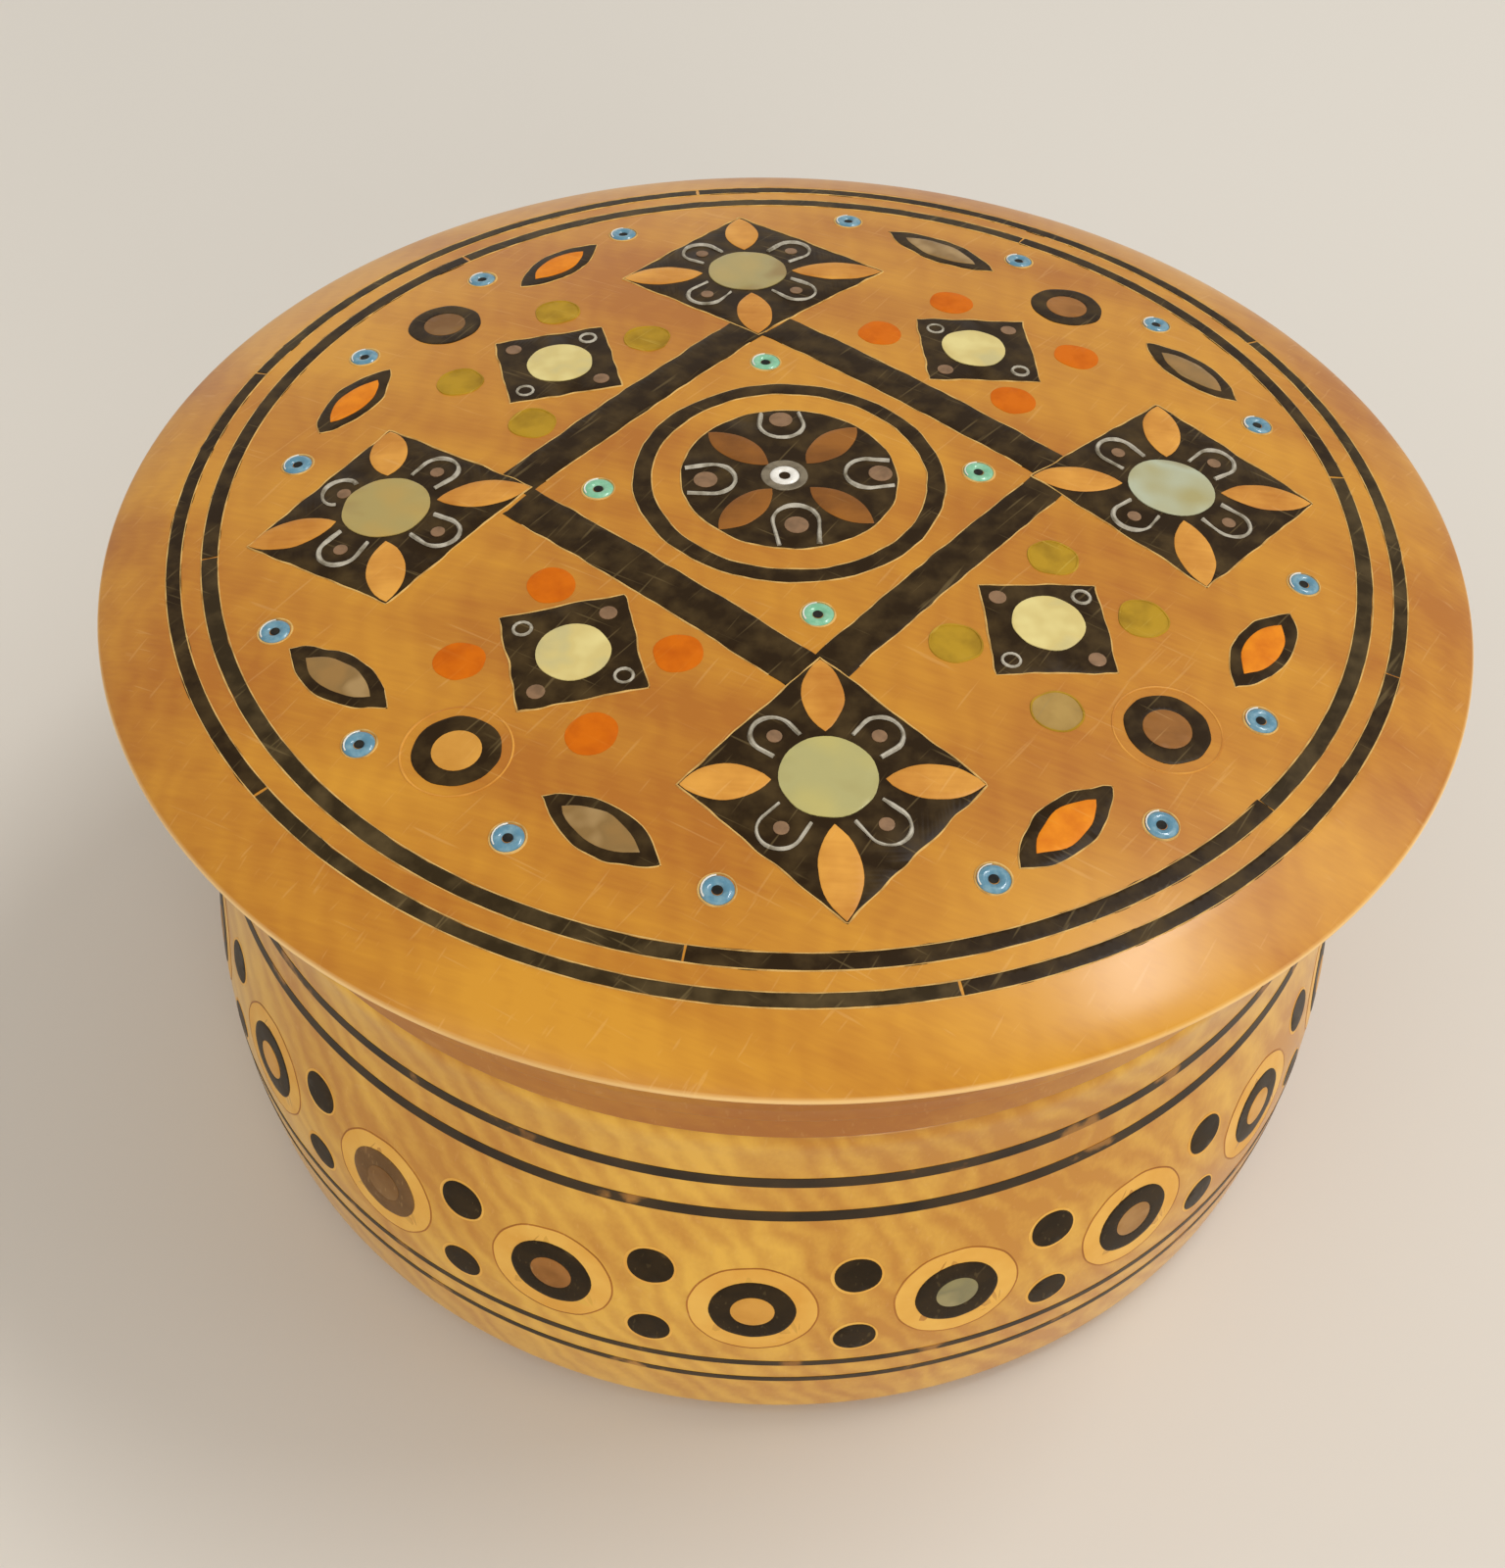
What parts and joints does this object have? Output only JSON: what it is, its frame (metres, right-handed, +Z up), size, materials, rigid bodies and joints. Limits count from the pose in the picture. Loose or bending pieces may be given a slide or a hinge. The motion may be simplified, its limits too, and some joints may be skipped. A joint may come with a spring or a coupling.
{
  "type": "trinket box",
  "caption": "Round turned wooden trinket box with a bellied bowl and a domed lift-off lid, both inlaid with a traditional geometric pattern of ebony, mother-of-pearl and glass beads.",
  "frame": {"origin": "centre of the foot, on the surface that the box stands on", "axes": "+Z up along the turning axis, -Y towards the front of the picture, +X to its right"},
  "size_m": [0.12, 0.12, 0.0648],
  "materials": {
    "box_wood": "worn clear varnish over close-grained yellow-brown wood",
    "ebony": "polished, slightly mottled",
    "light_wood": "polished",
    "brown_wood": "polished",
    "mother_of_pearl": "pearly sheen",
    "orange_composition": "satin",
    "olive_composition": "satin",
    "blue_glass": "opaque glass, cut end",
    "green_glass": "opaque glass, cut end",
    "white_glass": "opaque glass, cut end",
    "silver": "dull silver"
  },
  "bodies": {
    "bowl": {"bowl": "box_wood", "roundel_rings": "ebony", "light_plugs": "light_wood", "brown_plugs": "brown_wood", "pearl_plugs": "mother_of_pearl", "bowl_dots": "ebony", "upper_line": "ebony", "lower_line": "ebony"},
    "lid": {"lid": "box_wood", "blue_beads": "blue_glass", "centre_bead": "white_glass", "centre_collar": "silver", "centre_disc": "ebony", "centre_petals": "brown_wood", "centre_ring": "ebony", "eye_plugs": "brown_wood", "eye_rings": "ebony", "frame_bar_back_left": "ebony", "frame_bar_back_right": "ebony", "frame_bar_front_left": "ebony", "frame_bar_front_right": "ebony", "green_beads": "green_glass", "inner_ring": "ebony", "leaf_borders": "ebony", "olive_dots": "olive_composition", "orange_dots": "orange_composition", "orange_leaves": "orange_composition", "outer_ring": "ebony", "pearl_leaves": "mother_of_pearl", "rosette_grounds": "ebony", "rosette_pearls": "mother_of_pearl", "rosette_petals": "light_wood", "square_grounds": "ebony", "square_pearls": "mother_of_pearl"}
  },
  "joints": [
    {"name": "lid_lift", "type": "slide", "parent": "bowl", "child": "lid", "axis": [0, 0, 1], "range_m": [0, 0.06]}
  ]
}
